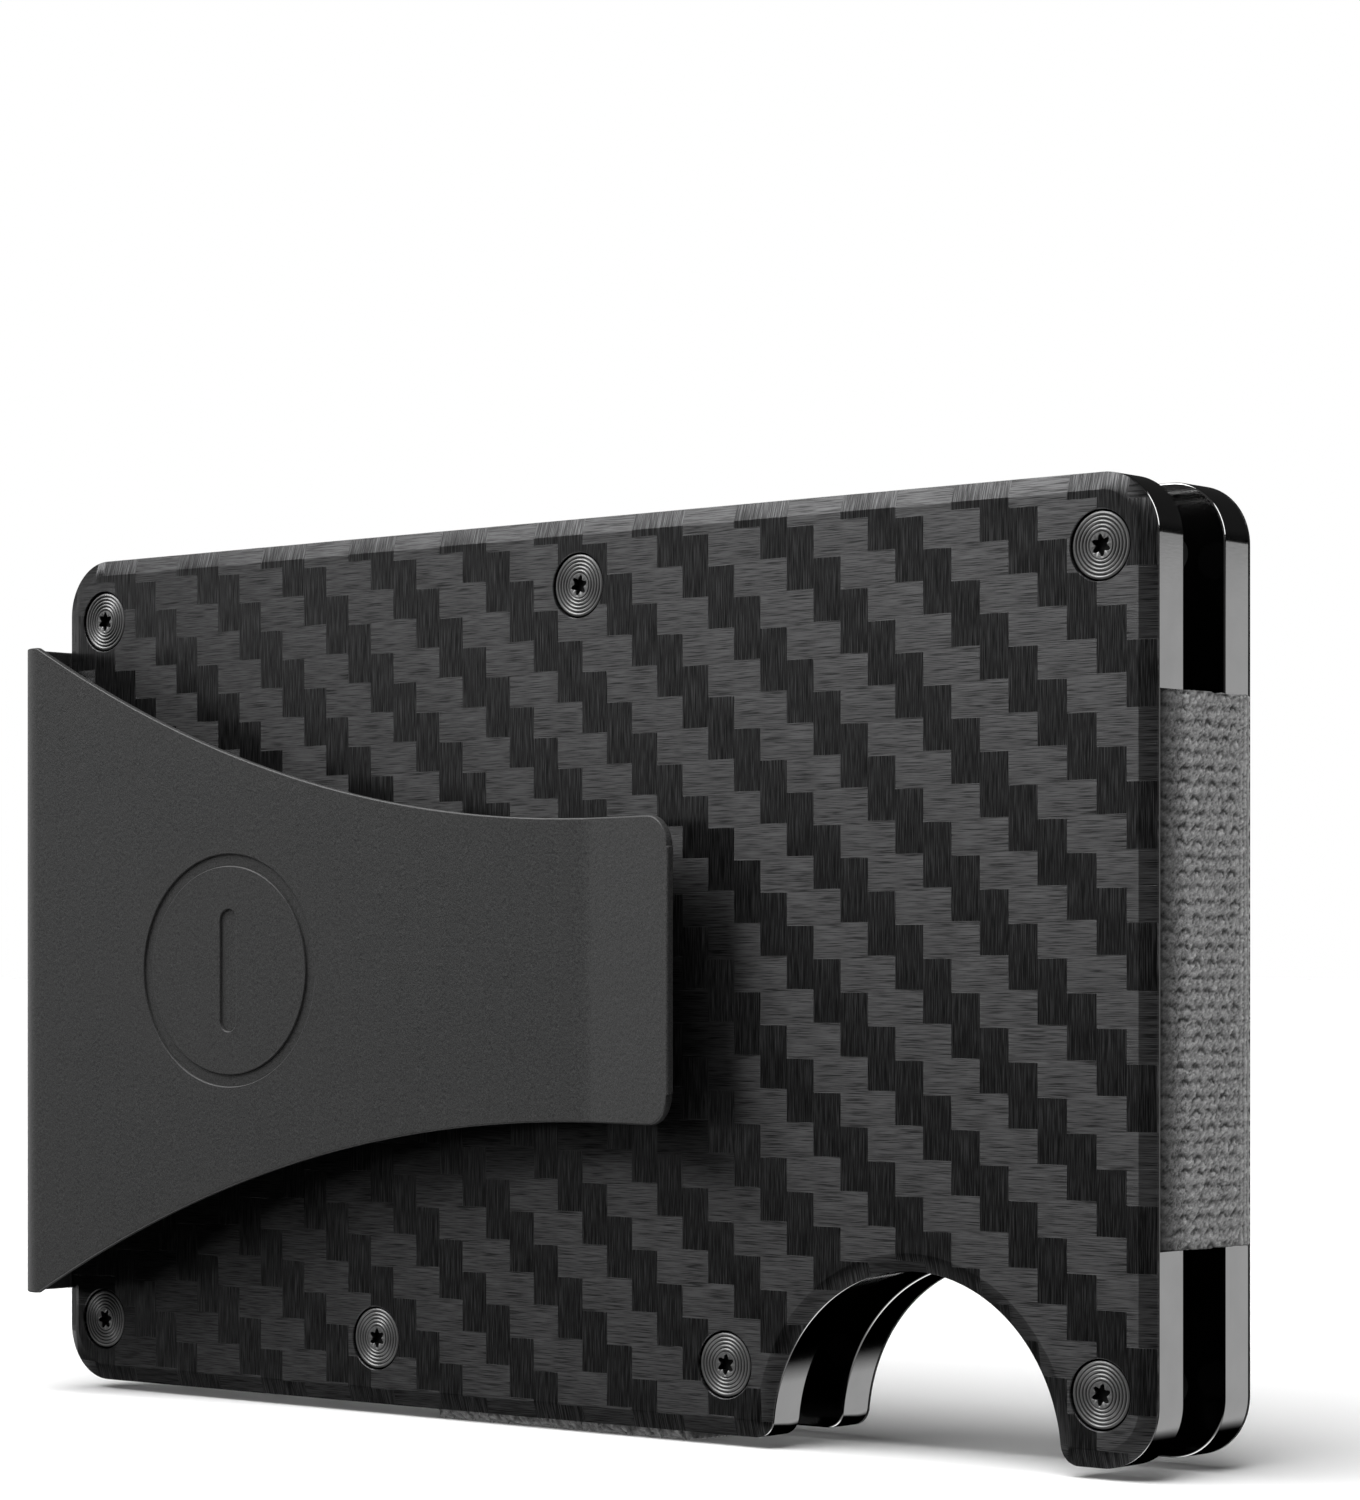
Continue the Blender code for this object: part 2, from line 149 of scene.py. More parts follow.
# Places that follow
STRAP_Y = INNER_FRONT + STRAP_THICK / 2
TONGUE_Y = INNER_FRONT + CLIP_THICK / 2
TONGUE_FLOOR = INNER_FRONT + CLIP_THICK + SEAM
CHANNEL_FLOOR = INNER_FRONT + STRAP_THICK + SEAM
LOW_STRAP_Y = TONGUE_FLOOR + STRAP_THICK / 2
LOW_CHANNEL_FLOOR = TONGUE_FLOOR + STRAP_THICK + SEAM
TONGUE_END_X = CLIP_HIGH[0]
LOW_CHANNEL_END_X = TONGUE_END_X + 4


# Outlines and paths in a plane


def arc(centre, radius, start, end, steps):
    """Points along an arc, both ends included; angles in degrees."""
    angles = np.radians(np.linspace(start, end, steps + 1))
    return np.array(centre) + radius * np.stack([np.cos(angles), np.sin(angles)], 1)


def unit(vector):
    return np.asarray(vector, float) / np.linalg.norm(vector)


def bend_centre(before, corner, after, radius):
    into, out = unit(np.subtract(before, corner)), unit(np.subtract(after, corner))
    half = math.acos(float(into @ out)) / 2
    return np.array(corner) + unit(into + out) * radius / math.sin(half)


def bend(before, corner, after, radius, steps=16):
    """The points of the arc that rounds a corner and meets both of its sides."""
    into, out = unit(np.subtract(corner, before)), unit(np.subtract(after, corner))
    cross = into[0] * out[1] - into[1] * out[0]
    turn = math.copysign(math.acos(np.clip(into @ out, -1, 1)), cross)
    first = np.array([into[1], -into[0]]) * math.copysign(1, turn)
    start = math.degrees(math.atan2(first[1], first[0]))
    centre = bend_centre(before, corner, after, radius)
    return arc(centre, radius, start, start + math.degrees(turn), steps)


def divided(path, step):
    """The path with each run cut into equal parts no longer than step(start, end)."""
    result = [path[:1]]
    for a, b in zip(path[:-1], path[1:]):
        parts = max(1, math.ceil(np.linalg.norm(b - a) / step(a, b)))
        result.append(a + (b - a) * np.arange(1, parts + 1)[:, None] / parts)
    return np.concatenate(result)


def sides(path, closed=False):
    """The unit vector to the right of the path at each point, lengthened at corners."""
    runs = np.roll(path, -1, 0) - path
    if not closed:
        runs[-1] = runs[-2]
    right = np.stack([runs[:, 1], -runs[:, 0]], 1)
    right /= np.linalg.norm(right, axis=1)[:, None]
    before = np.roll(right, 1, 0)
    if not closed:
        before[0] = right[0]
    middle = before + right
    middle /= np.linalg.norm(middle, axis=1)[:, None]
    return middle / np.sum(middle * right, 1)[:, None]


def plate_outline(notch_x, inset=0.0):
    """The plate's outline in X and Z, anticlockwise, moved inwards by inset."""
    corner_x, corner_r = LENGTH / 2 - CORNER_R, CORNER_R - inset
    reach = NOTCH_R + NOTCH_CORNER_R
    lip_x = math.sqrt(reach**2 - NOTCH_CORNER_R**2)
    meet = math.degrees(math.asin(NOTCH_CORNER_R / reach))
    lip_r = NOTCH_CORNER_R - inset
    return np.concatenate(
        [
            arc((-corner_x, CORNER_R), corner_r, 180, 270, CORNER_STEPS),
            arc((notch_x - lip_x, NOTCH_CORNER_R), lip_r, -90, -meet, LIP_STEPS),
            arc((notch_x, 0), NOTCH_R + inset, 180 - meet, meet, NOTCH_STEPS)[1:-1],
            arc((notch_x + lip_x, NOTCH_CORNER_R), lip_r, 180 + meet, 270, LIP_STEPS),
            arc((corner_x, CORNER_R), corner_r, 270, 360, CORNER_STEPS),
            arc((corner_x, HEIGHT - CORNER_R), corner_r, 0, 90, CORNER_STEPS),
            arc((-corner_x, HEIGHT - CORNER_R), corner_r, 90, 180, CORNER_STEPS),
        ]
    )


# Solids


def placed(points, axis, at):
    """Points of a plane, put at a place along the axis that the plane is square to."""
    points = np.asarray(points, float)
    columns = [points[:, 0], points[:, 1]]
    columns.insert("XYZ".index(axis), np.broadcast_to(at, len(points)))
    return np.stack(columns, 1)


def stacked(sections, axis):
    """Rings through outlines, each given with its place along the axis."""
    return np.array([placed(outline, axis, at) for at, outline in sections])


def prism(outline, axis, low, high):
    return stacked([(low, outline), (high, outline)], axis)


def turned(profile, steps=64):
    """Rings about the Y axis; the profile is a list of depth and radius."""
    return stacked([(y, arc((0, 0), r, 0, 360, steps)[:-1]) for y, r in profile], "Y")


def to_frame(points, side="front"):
    """Design millimetres as metres in the row frame; the back half is turned round."""
    points = np.array(points, float)
    if side == "back":
        points = points * (-1, -1, 1) + (0, TOTAL_THICK, 0)
    return (points + ORIGIN) / MM_PER_M


def loft(name, rings, side="front", closed=False, moved=None):
    """An object through rings of equally many points, capped unless it closes on itself."""
    rings = np.asarray(rings)
    count, around = rings.shape[:2]
    index = np.arange(count * around).reshape(count, around)
    low, high = (index, np.roll(index, -1, 0)) if closed else (index[:-1], index[1:])
    corners = [low, np.roll(low, -1, 1), np.roll(high, -1, 1), high]
    faces = np.stack(corners, -1).reshape(-1, 4).tolist()
    if not closed:
        faces += [index[0, ::-1].tolist(), index[-1].tolist()]
    points = rings.reshape(-1, 3)
    points = to_frame(points, side) if moved is None else (points + moved) / MM_PER_M
    mesh = bpy.data.meshes.new(name)
    mesh.from_pydata(points.tolist(), [], faces)
    shape = bmesh.new()
    shape.from_mesh(mesh)
    bmesh.ops.recalc_face_normals(shape, faces=shape.faces)
    shape.to_mesh(mesh)
    shape.free()
    made = bpy.data.objects.new(name, mesh)
    bpy.context.scene.collection.objects.link(made)
    return made


def apply_modifiers(made):
    graph = bpy.context.evaluated_depsgraph_get()
    mesh = bpy.data.meshes.new_from_object(made.evaluated_get(graph))
    made.modifiers.clear()
    made.data = mesh


def cut(target, cutters):
    """Takes the cutters out of the target, for good."""
    for cutter in cutters:
        modifier = target.modifiers.new(cutter.name, "BOOLEAN")
        modifier.operation = "DIFFERENCE"
        modifier.object = cutter
    apply_modifiers(target)
    for cutter in cutters:
        bpy.data.objects.remove(cutter)


def weld(made):
    """Joins the points that a cut leaves almost on top of each other."""
    shape = bmesh.new()
    shape.from_mesh(made.data)
    bmesh.ops.remove_doubles(shape, verts=shape.verts, dist=WELD / MM_PER_M)
    bmesh.ops.dissolve_degenerate(shape, edges=shape.edges, dist=WELD / MM_PER_M)
    shape.to_mesh(made.data)
    shape.free()


def smooth(made, angle=30):
    """Smooth shading with sharp edges, led by the large faces."""
    made.data.shade_smooth()
    made.data.set_sharp_from_angle(angle=math.radians(angle))
    modifier = made.modifiers.new("normals", "WEIGHTED_NORMAL")
    modifier.keep_sharp = True
    modifier.weight = 100
    apply_modifiers(made)


def finish_piece(made, look, nodes):
    made.data.materials.clear()
    made.data.materials.append(look)
    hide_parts(*nodes)


# Materials


class Look:
    """A material, with short ways to add nodes to it."""

    def __init__(self, name):
        self.material = bpy.data.materials.new(name)
        self.material.use_nodes = True
        self.tree = self.material.node_tree
        self.shader = self.tree.nodes["Principled BSDF"]

    def put(self, socket, value):
        if isinstance(value, bpy.types.NodeSocket):
            self.tree.links.new(value, socket)
        else:
            socket.default_value = value

    def add(self, kind, inputs, output=0, **settings):
        """Adds a node; inputs are keyed by socket name or place, output is a name or place."""
        node = self.tree.nodes.new("ShaderNode" + kind)
        for key, value in settings.items():
            setattr(node, key, value)
        for key, value in inputs.items():
            self.put(node.inputs[key], value)
        return node.outputs[output]

    def math(self, operation, *values):
        return self.add("Math", dict(enumerate(values)), operation=operation)

    def blend(self, factor, low, high):
        """Low where the factor is 0, high where it is 1."""
        step = self.math("SUBTRACT", high, low)
        return self.math("ADD", low, self.math("MULTIPLY", factor, step))

    def noise(self, vector, scale, detail=2.0, roughness=0.5):
        settings = {"Vector": vector, "Scale": scale, "Detail": detail, "Roughness": roughness}
        return self.add("TexNoise", settings, "Fac")

    def position(self):
        """The place on the piece in design millimetres."""
        place = self.add("TexCoord", {}, "Object")
        inputs = {0: place, 1: (MM_PER_M,) * 3, 2: tuple(-ORIGIN)}
        return self.add("VectorMath", inputs, operation="MULTIPLY_ADD")

    def stretched(self, place, factors):
        return self.add("VectorMath", {0: place, 1: factors}, operation="MULTIPLY")

    def grey(self, value, tint=(1.0, 1.0, 1.0)):
        parts = {i: self.math("MULTIPLY", value, part) for i, part in enumerate(tint)}
        return self.add("CombineColor", parts)

    def bump(self, height, strength, distance, normal=None):
        inputs = {"Height": height, "Strength": strength, "Distance": distance}
        if normal is not None:
            inputs["Normal"] = normal
        return self.add("Bump", inputs)

    def shade(self, **values):
        for key, value in values.items():
            self.put(self.shader.inputs[key.replace("_", " ")], value)
        return self.material


TOW_X, TOW_Z = 1.943, 1.905  # the weave's pitch
TOW_START = (27.625, 39.155)  # a corner of the weave


def carbon_look():
    """A two-by-two twill: upright tows where the count of column and row is 0 or 1 of 4."""
    look = Look("carbon_twill")
    place = look.position()
    x, y, z = (look.add("SeparateXYZ", {0: place}, i) for i in range(3))
    column = look.math("DIVIDE", look.math("SUBTRACT", x, TOW_START[0]), TOW_X)
    row = look.math("DIVIDE", look.math("SUBTRACT", z, TOW_START[1]), TOW_Z)
    column_index, row_index = look.math("FLOOR", column), look.math("FLOOR", row)
    upright_along = look.math("FLOORED_MODULO", look.math("ADD", column_index, row), 4.0)
    level_along = look.math("FLOORED_MODULO", look.math("ADD", column, row_index), 4.0)
    centred = look.math("ABSOLUTE", look.math("SUBTRACT", upright_along, 1.0))
    upright = look.math("LESS_THAN", centred, 0.95)
    level_along = look.math("SUBTRACT", level_along, 2.0)

    # Fibres run along each tow: dark hairlines in the level tows, light ones in the upright tows
    upright_streak = look.noise(look.stretched(place, (21.0, 1.0, 0.5)), 1.0, 2.0, 0.6)
    level_streak = look.noise(look.stretched(place, (0.5, 1.0, 21.0)), 1.0, 2.0, 0.6)
    streak = look.blend(upright, level_streak, upright_streak)
    upright_wave = look.noise(look.stretched(place, (3.0, 0.3, 0.35)), 1.0)
    level_wave = look.noise(look.stretched(place, (0.35, 0.3, 3.0)), 1.0)
    wave = look.math("SUBTRACT", look.blend(upright, level_wave, upright_wave), 0.5)
    change = look.math("SUBTRACT", streak, 0.5)
    change = look.math("MULTIPLY", change, look.blend(upright, 6.0, 10.0))
    change = look.math("MAXIMUM", change, look.blend(upright, -0.75, -0.5))
    change = look.math("MINIMUM", change, look.blend(upright, 0.3, 1.8))
    contrast = look.math("MULTIPLY_ADD", wave, 0.8, look.math("ADD", change, 1.0))
    contrast = look.math("MAXIMUM", contrast, 0.15)
    tone = look.math("MULTIPLY", contrast, look.blend(upright, 0.045, 0.040))

    # Each tow is crowned across its width and dips where it goes under the next
    across = look.blend(upright, look.math("FRACT", row), look.math("FRACT", column))
    crown = look.math("SINE", look.math("MULTIPLY", across, math.pi))
    along = look.blend(upright, level_along, upright_along)
    float_arch = look.math("SINE", look.math("MULTIPLY", along, math.pi / 2))
    height = look.math("MULTIPLY_ADD", float_arch, 0.014, look.math("MULTIPLY", crown, 0.010))
    height = look.math("MULTIPLY_ADD", streak, 0.007, height)
    normal = look.bump(height, 1.0, 0.001)

    # The sheen lies across the fibres
    tangent = look.add("CombineXYZ", {0: upright, 1: 0.0, 2: look.math("SUBTRACT", 1.0, upright)})
    settings = {"vector_type": "VECTOR", "convert_from": "OBJECT", "convert_to": "WORLD"}
    tangent = look.add("VectorTransform", {0: tangent}, **settings)
    roughness = look.math("MULTIPLY_ADD", streak, 0.2, 0.3)
    return look.shade(
        Base_Color=look.grey(tone, (1.0, 1.0, 1.02)),
        Metallic=0.8,
        Roughness=roughness,
        Anisotropic=0.92,
        Tangent=tangent,
        Normal=normal,
    )


def inner_look():
    """Polished black metal, with the faint unevenness of a dyed surface."""
    look = Look("polished_black")
    place = look.position()
    cloud = look.noise(place, 0.35, 3.0)
    grain = look.noise(look.stretched(place, (9.0, 1.5, 9.0)), 1.0, 2.0)
    tone = look.math("MULTIPLY_ADD", cloud, 0.06, 0.22)
    roughness = look.math("MULTIPLY_ADD", grain, 0.05, 0.07)
    normal = look.bump(grain, 0.1, 0.000004)
    return look.shade(Base_Color=look.grey(tone), Metallic=1.0, Roughness=roughness, Normal=normal)


def screw_look():
    """Dark turned steel: the sheen fans out round the axis."""
    look = Look("turned_steel")
    place = look.add("TexCoord", {}, "Object")
    grain = look.noise(look.stretched(place, (9000.0, 2000.0, 9000.0)), 1.0, 3.0)
    x, y, z = (look.add("SeparateXYZ", {0: place}, i) for i in range(3))
    radius = look.math("MULTIPLY_ADD", x, x, look.math("MULTIPLY", z, z))
    radius = look.math("SQRT", radius)
    # Painted shade: the grooves and the drive are darker, the deeper they are
    start, end = (HEAD_SUNK + 0.015) / MM_PER_M, (HEAD_SUNK + 0.07) / MM_PER_M
    inside = look.add("MapRange", {0: y, 1: start, 2: end, 3: 1.0, 4: 0.1})
    fine = look.noise(look.add("CombineXYZ", {0: look.math("MULTIPLY", radius, 26000.0)}), 1.0, 2.0)
    tone = look.math("MULTIPLY", look.math("MULTIPLY_ADD", fine, 0.10, 0.13), inside)
    tone = look.math("MULTIPLY", tone, look.math("MULTIPLY_ADD", grain, 0.3, 0.85))
    tangent = look.add("Tangent", {}, direction_type="RADIAL", axis="Y")
    return look.shade(
        Base_Color=look.grey(tone),
        Metallic=0.65,
        Roughness=look.math("MULTIPLY_ADD", grain, 0.12, 0.4),
        Anisotropic=0.35,
        Anisotropic_Rotation=0.25,
        Tangent=tangent,
    )


def clip_look():
    """A matte dark coating with a fine grain."""
    look = Look("clip_coating")
    place = look.position()
    grain = look.noise(place, 13.0, 2.0, 0.6)
    speck = look.noise(place, 3.2, 2.0)
    cloud = look.noise(place, 0.12, 2.0)
    tone = look.math("MULTIPLY_ADD", grain, 0.11, -0.024)
    tone = look.math("MULTIPLY_ADD", speck, 0.005, tone)
    tone = look.math("MULTIPLY_ADD", cloud, 0.003, tone)
    height = look.math("ADD", grain, look.math("MULTIPLY", speck, 1.5))
    normal = look.bump(height, 0.35, 0.00003)
    roughness = look.math("MULTIPLY_ADD", grain, 0.15, 0.42)
    return look.shade(
        Base_Color=look.grey(tone),
        Roughness=roughness,
        Specular_IOR_Level=0.36,
        Normal=normal,
    )


def elastic_look():
    """Grey knitted yarn with fine fibres; its colour follows the knit's height, so the pits between
    stitches carry painted shade.
    """
    look = Look("grey_knit")
    place = look.position()
    knit_painted_shade = look.add("Attribute", {}, "Fac", attribute_name="knit_painted_shade")
    fibre = look.noise(look.stretched(place, (9.0, 9.0, 16.0)), 1.0, 3.0, 0.7)
    cloud = look.noise(place, 0.8, 2.0)
    # Painted shade: the tone falls with the knit's height, and with a strap's painted shade near
    # the front plate and in its folds
    tone = look.math("MULTIPLY_ADD", look.math("POWER", knit_painted_shade, 1.3), 0.74, 0.01)
    tone = look.math("MULTIPLY", tone, look.math("MULTIPLY_ADD", fibre, 1.8, 0.1))
    tone = look.math("MULTIPLY", tone, look.math("MULTIPLY_ADD", cloud, 0.3, 0.85))
    normal = look.bump(fibre, 0.6, 0.00006)
    return look.shade(
        Base_Color=look.grey(tone),
        Roughness=0.92,
        Sheen_Weight=0.25,
        Sheen_Roughness=0.5,
        Normal=normal,
    )


# Halves


def screw_hole(name, x, z, side):
    """The space for a screw: a straight hole for its head, a cone and a hole for its shank."""
    head_r, shank_r = HEAD_R + HOLE_PLAY, SHANK_R + HOLE_PLAY
    rim = HEAD_SUNK + HEAD_RIM + HOLE_PLAY
    mouth_r = head_r + HOLE_CHAMFER
    profile = [(-PAST, mouth_r), (0, mouth_r), (HOLE_CHAMFER, head_r), (rim, head_r)]
    profile += [(rim + head_r - shank_r, shank_r), (HALF_THICK + PAST, shank_r)]
    return loft(name, turned(profile) + (x, 0, z), side)


def screw_places(side):
    """Where the half's screws are, in that half's own design frame."""
    for number in range(1, 8):
        low, high = box_mm(f"{side}_screw_{number}")
        x, z = (low[0] + high[0]) / 2, (low[2] + high[2]) / 2
        yield number, (x if side == "front" else -x), z


def add_outer_plate(side, notch_x, look):
    sections = [(depth, plate_outline(notch_x, inset)) for inset, depth in RIM]
    plate = loft(f"{side}_carbon_plate", stacked(sections, "Y"), side)
    holes = [screw_hole(f"hole_{n}", x, z, side) for n, x, z in screw_places(side)]
    cut(plate, holes)
    smooth(plate)
    finish_piece(plate, look, [f"{side}_outer_plate"])
    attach(plate, f"{side}_half")


def inner_plate_sections(notch_x):
    """The inner plate's outlines from front to back, rounded along both edges."""
    turns = np.radians(np.linspace(0, 90, 5))
    rounds = [(INNER_ROUND * (1 - math.sin(t)), INNER_ROUND * (1 - math.cos(t))) for t in turns]
    front = [(JOIN + depth, inset) for inset, depth in rounds]
    back = [(HALF_THICK - depth, inset) for inset, depth in reversed(rounds)]
    return [(depth, plate_outline(notch_x, inset)) for depth, inset in front + back]


def inner_plate_cutters(side):
    """The elastics' channels, the pocket for the bottom strap's end and the clip's recess."""
    past_x, past_y = LENGTH / 2 + PAST, HALF_THICK + PAST
    end_x = LENGTH / 2 - STRAP_THICK - SEAM
    lip = JOIN + LIP
    band = [(-past_x, lip), (past_x, lip)]
    band += [(past_x, past_y), (end_x, past_y), (end_x, CHANNEL_FLOOR)]
    if side == "front":
        band += [(LOW_CHANNEL_END_X, CHANNEL_FLOOR), (LOW_CHANNEL_END_X, LOW_CHANNEL_FLOOR)]
        band.append((-end_x, LOW_CHANNEL_FLOOR))
    else:
        band.append((-end_x, CHANNEL_FLOOR))
    band += [(-end_x, past_y), (-past_x, past_y)]
    low, high = BAND_LOW - BAND_PLAY, BAND_HIGH + BAND_PLAY
    yield loft("band_channel", prism(band, "Z", low, high), side)

    floor_z = BOTTOM_LOW[2] + STRAP_THICK + SEAM
    leg = [(0, -PAST), (past_y, -PAST), (past_y, floor_z), (CHANNEL_FLOOR, floor_z)]
    leg += [(CHANNEL_FLOOR, BOTTOM_HIGH[2]), (0, BOTTOM_HIGH[2])]
    half = LEG_WIDE / 2 + STRAP_PLAY
    yield loft("leg_channel", prism(leg, "X", -half, half), side)

    leg_x, head_x = LEG_WIDE / 2, BOTTOM_HIGH[0] + STRAP_PLAY
    right = [(leg_x, SHOULDER_LOW - STRAP_PLAY), (head_x, SHOULDER_HIGH - STRAP_PLAY)]
    right.append((head_x, BAND_LOW))
    pocket = right + [(-x, z) for x, z in reversed(right)]
    yield loft("head_pocket", prism(pocket, "Y", 0, CHANNEL_FLOOR), side)

    if side == "front":
        upper = tongue_sections(PLAY) + [(-LENGTH / 2 - PAST, CLIP_TALL / 2 + PLAY)]
        recess = [(x, MID_Z + h) for x, h in upper] + [(x, MID_Z - h) for x, h in reversed(upper)]
        yield loft("tongue_recess", prism(recess, "Y", 0, TONGUE_FLOOR), side)


def add_inner_plate(side, notch_x, look):
    plate = loft(f"{side}_black_plate", stacked(inner_plate_sections(notch_x), "Y"), side)
    holes = [screw_hole(f"hole_{n}", x, z, side) for n, x, z in screw_places(side)]
    cut(plate, list(inner_plate_cutters(side)) + holes)
    smooth(plate)
    finish_piece(plate, look, [f"{side}_inner_plate"])
    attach(plate, f"{side}_half")


def screw_rings(steps=72):
    """A countersunk screw along Y, with turned rings on its head and a six-lobed drive."""
    turns = np.linspace(0, 2 * math.pi, steps, endpoint=False)
    ray = np.stack([np.cos(turns), np.sin(turns)], 1)
    # The drive: its floor, its wall and a rounded edge
    lobes = (DRIVE_R + DRIVE_LOBE * np.cos(6 * turns))[:, None] * ray
    sections = [(HEAD_SUNK + DRIVE_DEEP, lobes * 0.5), (HEAD_SUNK + DRIVE_DEEP, lobes * 0.97)]
    sections += [(HEAD_SUNK + 0.03, lobes), (HEAD_SUNK, lobes + ray * 0.04)]
    # The smooth disc, then the rings, which are grooves with rounded crests
    sections.append((HEAD_SUNK, ray * (DISC_R - 0.03)))
    radii = np.linspace(DISC_R, HEAD_R - 0.02, RINGS * RING_STEPS + 1)
    share = (radii - radii[0]) / (radii[-1] - radii[0]) * RINGS
    groove = RING_DEEP * (0.5 + 0.5 * np.cos(2 * math.pi * share)) ** 1.6
    groove[-3:] *= 0.6
    sections += [(HEAD_SUNK + depth, ray * r) for r, depth in zip(radii, groove)]
    # The rim, the cone and the shank
    rim = HEAD_SUNK + HEAD_RIM
    profile = [(HEAD_SUNK + 0.09, HEAD_R), (rim, HEAD_R)]
    profile += [(rim + HEAD_R - SHANK_R, SHANK_R), (SCREW_END, SHANK_R)]
    sections += [(depth, ray * r) for depth, r in profile]
    return stacked(sections, "Y")


def add_screws(side, look):
    """The half's seven screws share one mesh, each turned differently."""
    master = loft("screw_master", screw_rings(), moved=np.zeros(3))
    smooth(master, 40)
    master.data.materials.append(look)
    for number, x, z in screw_places(side):
        made = bpy.data.objects.new(f"{side}_turned_screw_{number}", master.data)
        bpy.context.scene.collection.objects.link(made)
        half_turn = Matrix.Rotation(0 if side == "front" else math.pi, 4, "Z")
        spin = Matrix.Rotation(math.radians(30 + 11 * (number % 3) - 7 * (number % 2)), 4, "Y")
        at = Vector(to_frame([(x, 0, z)], side)[0])
        made.matrix_world = Matrix.Translation(at) @ half_turn @ spin
        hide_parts(f"{side}_screw_{number}")
        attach(made, f"{side}_half")
    bpy.data.objects.remove(master)


# Straps


def waves(along, across, seed, pitch):
    """A smooth unevenness from -1 to 1, made of a few crossing waves."""
    draw = np.random.default_rng(seed)
    total = 0
    for _ in range(5):
        heading, phase = draw.uniform(0, 2 * math.pi, 2)
        place = along * math.cos(heading) + across * math.sin(heading)
        total = total + np.sin(2 * math.pi * place / (pitch * draw.uniform(0.7, 1.5)) + phase)
    return total / 5


def knit(along, across, ribbed):
    """The knit's height, from 0 in a pit to 1, at places along and across a strap."""
    along = along + 0.12 * waves(along, across, 1, 2.2)
    across = across + 0.05 * waves(along, across, 2, 1.6)
    # The stitch at each place, and where in it the place is, from -0.5 to 0.5
    row = np.floor(across / ROW)
    stitch = along / STITCH + 0.2 * np.sin(2.4 * row)
    cell = np.floor(stitch)
    chance = UNEVEN[:, (37 * row + 11 * cell).astype(int) % UNEVEN.shape[1]]
    du = stitch - cell - 0.5 + 0.1 * chance[0]
    dv = across / ROW - row - 0.5
    # Each stitch is a loop of yarn under an arched pit
    arch = dv - 0.12 + 0.1 * chance[1] + 2.4 * du**2 - 0.3 * chance[2] * du
    strength = np.clip(0.8 + 0.4 * chance[3], 0, 1)
    pit = strength * np.exp(-((du / 0.32) ** 4) - (arch / 0.15) ** 2)
    loop = np.exp(-((du / 0.16) ** 2) - ((dv + 0.2) / 0.14) ** 2)
    yarn = 0.53 + 0.16 * loop - 0.06 * np.cos(2 * math.pi * dv)
    yarn = yarn + 0.16 * waves(along, across, 4, 0.4)
    knitted = yarn * (1 - pit)
    # Fine ribs across the strap take the stitches' place where ribbed is 1
    rib = 0.62 + 0.25 * np.cos(2 * math.pi * along / 0.4) + 0.15 * waves(along, across, 5, 0.6)
    return np.clip(knitted * (1 - ribbed) + rib * ribbed, 0, 1)


def strap_rings(path, halves, axis, middle, shown, closed, seed, hair):
    """Rings of a knitted strap round its path, with the knit's height, darkened by painted shade,
    at every point.

    shown gives for each point of the path: 1 if it is seen, the share of ribs in its knit, how
    far its outer face is pushed out to square a corner, and how light it is, which is painted
    shade.
    """
    grain = np.random.default_rng(seed)
    right = sides(path, closed)
    length = np.concatenate([[0], np.cumsum(np.linalg.norm(np.diff(path, axis=0), axis=1))])
    surface = STRAP_THICK / 2
    face = np.linspace(-1, 1, round(2 * halves.min() / FACE_STEP) + 1)
    edge = np.array([0.75, 0.4, 0, -0.4, -0.75]) * STRAP_THICK / 2
    inner = np.linspace(1, -1, INNER_STEPS)
    inner_face = np.full(len(inner), -surface)
    rings, heights = [], []
    for point, side, at, half, look in zip(path, right, length, halves, shown):
        seen, ribbed, square, tone = look
        relief = knit(np.full(len(face), at), face * half, ribbed)
        relief = np.clip(relief + grain.normal(0, GRAIN, len(face)), 0, 1)
        stray = hair * np.maximum(grain.normal(0, 1, len(face)) - 0.8, 0)
        drop = seen * (PIT_DEEP * (1 - relief) - stray) - square
        out = np.concatenate([surface - drop, edge, inner_face, edge[::-1]])
        fuzz = grain.normal(0, FUZZ, (2, len(edge))) + 0.05 * waves(at, 0, 6, 1.3)
        upper, lower = 0.06 * np.sqrt(1 - (edge / surface) ** 2) + seen * fuzz
        across = [face * half, half + upper, inner * half, -half - lower[::-1]]
        plane = point + side * out[:, None]
        rings.append(placed(plane, axis, middle + np.concatenate(across)))
        rest = np.full(len(out) - len(face), 0.25 * tone)
        # Painted shade: the knit's height is scaled by how light the point is shown
        heights.append(np.concatenate([relief * tone, rest]))
    rings = np.array(rings)
    rings[..., 2] = np.maximum(rings[..., 2], BOTTOM_LOW[2])  # no hair goes through the floor
    return rings, np.concatenate(heights)


def add_strap(name, rings, heights, closed, look, node):
    """A strap that joins the two halves."""
    strap = loft(name, rings, closed=closed)
    # The point attribute holds the knit's height times its painted shade
    knit_painted_shade = strap.data.attributes.new("knit_painted_shade", "FLOAT", "POINT")
    knit_painted_shade.data.foreach_set("value", heights.astype(np.float32))
    strap.data.shade_smooth()
    finish_piece(strap, look, [node])
    start, end = to_frame([(0, HALF_THICK, 0), (0, TOTAL_THICK - HALF_THICK, 0)])
    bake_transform(strap)
    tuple(start)
    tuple(end)


